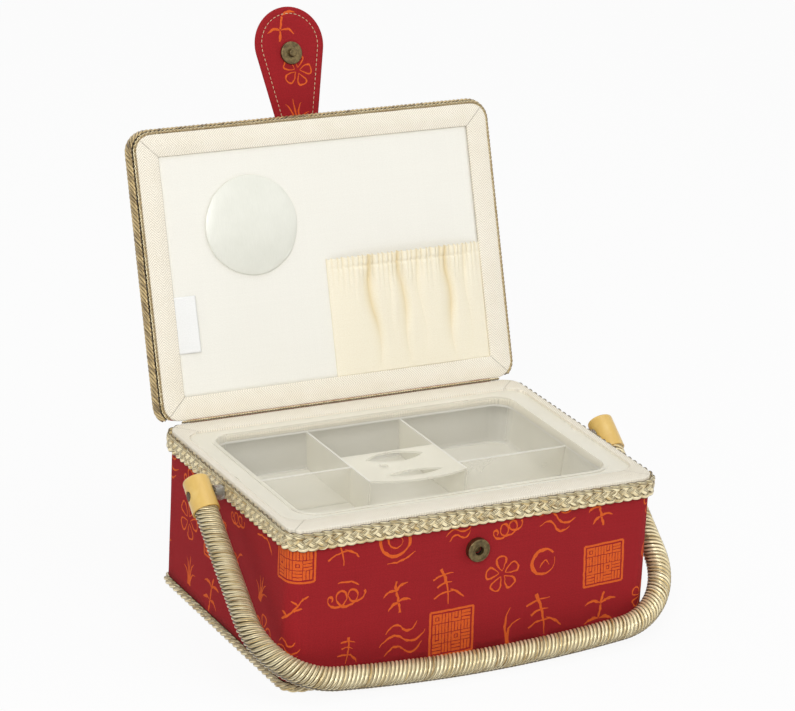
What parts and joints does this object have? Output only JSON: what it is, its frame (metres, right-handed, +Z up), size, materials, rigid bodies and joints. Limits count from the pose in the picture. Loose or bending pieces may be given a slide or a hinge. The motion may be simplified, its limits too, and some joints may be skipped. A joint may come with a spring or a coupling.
{
  "type": "sewing box",
  "caption": "Cloth-covered sewing box with padded hinged lid, snap tab, swinging bail handle and lift-out compartment tray.",
  "frame": {"origin": "centre of the underside, on the surface the box stands on", "axes": "+X to the right along the front, +Y from the front to the hinge, +Z up"},
  "size_m": [0.2848, 0.2979, 0.3177],
  "materials": {
    "board": "raw grey board",
    "red_cloth": "plain woven cotton with an orange print",
    "gold_cord": "plaited glossy gold and brown cord",
    "cream_tape": "herringbone tape",
    "liner_cloth": "smooth fine cotton",
    "pocket_cloth": "soft fine cotton",
    "satin": "satin with a soft sheen",
    "wadding": "loose white wadding",
    "elastic": "woven elastic",
    "ribbon": "plain white ribbon",
    "tray_plastic": "milky translucent polypropylene",
    "core_plastic": "plain extruded tube",
    "pale_wood": "lacquered pale wood",
    "antique_brass": "dark antique finish",
    "magnet": "plated",
    "steel": "dull plated steel",
    "clear_plastic": "clear tube"
  },
  "bodies": {
    "body": {"wall_board": "board", "bottom_board": "board", "bottom_cloth": "red_cloth", "cover_cloth": "red_cloth", "lining": "liner_cloth", "tray_ledge": "board", "rim_binding": "cream_tape", "rim_braid": "gold_cord", "base_cord": "gold_cord", "hinge_leaf_box": "cream_tape", "snap_socket": "antique_brass", "socket_magnet": "magnet", "socket_backplate": "antique_brass", "handle_bolt_left": "steel", "handle_spacer_left": "clear_plastic", "bolt_washer_left": "steel", "bolt_nut_left": "steel", "handle_bolt_right": "steel", "handle_spacer_right": "clear_plastic", "bolt_washer_right": "steel", "bolt_nut_right": "steel"},
    "lid": {"lid_board": "board", "lid_padding": "wadding", "lid_cover": "red_cloth", "lid_braid": "gold_cord", "lid_piping": "gold_cord", "lid_binding": "cream_tape", "lid_liner": "liner_cloth", "hinge_leaf_lid": "cream_tape", "pincushion": "satin", "cushion_base": "board", "pocket": "pocket_cloth", "pocket_elastic": "elastic", "blank_label": "ribbon", "tab_anchor": "red_cloth"},
    "closure_tab": {"closure_tab": "red_cloth", "tab_stiffener": "board", "snap_stud": "antique_brass", "stud_backplate": "antique_brass"},
    "handle": {"handle_core": "core_plastic", "handle_wrap": "gold_cord", "ferrule_left": "pale_wood", "ferrule_right": "pale_wood"},
    "tray": {"tray": "tray_plastic"}
  },
  "joints": [
    {"name": "lid_hinge", "type": "hinge", "parent": "body", "child": "lid", "pos_m": [0, 0.0865, 0.09915], "axis": [1, 0, 0], "range_deg": [0, 109]},
    {"name": "tab_fold", "type": "hinge", "parent": "lid", "child": "closure_tab", "pos_m": [0, 0.15593, 0.25578], "axis": [1, 0, 0], "range_deg": [0, 90]},
    {"name": "handle_swing", "type": "hinge", "parent": "body", "child": "handle", "pos_m": [0, 0, 0.0905], "axis": [-1, 0, 0], "range_deg": [0, 165]},
    {"name": "tray_lift", "type": "slide", "parent": "body", "child": "tray", "axis": [0, 0, 1], "range_m": [0, 0.15]}
  ]
}
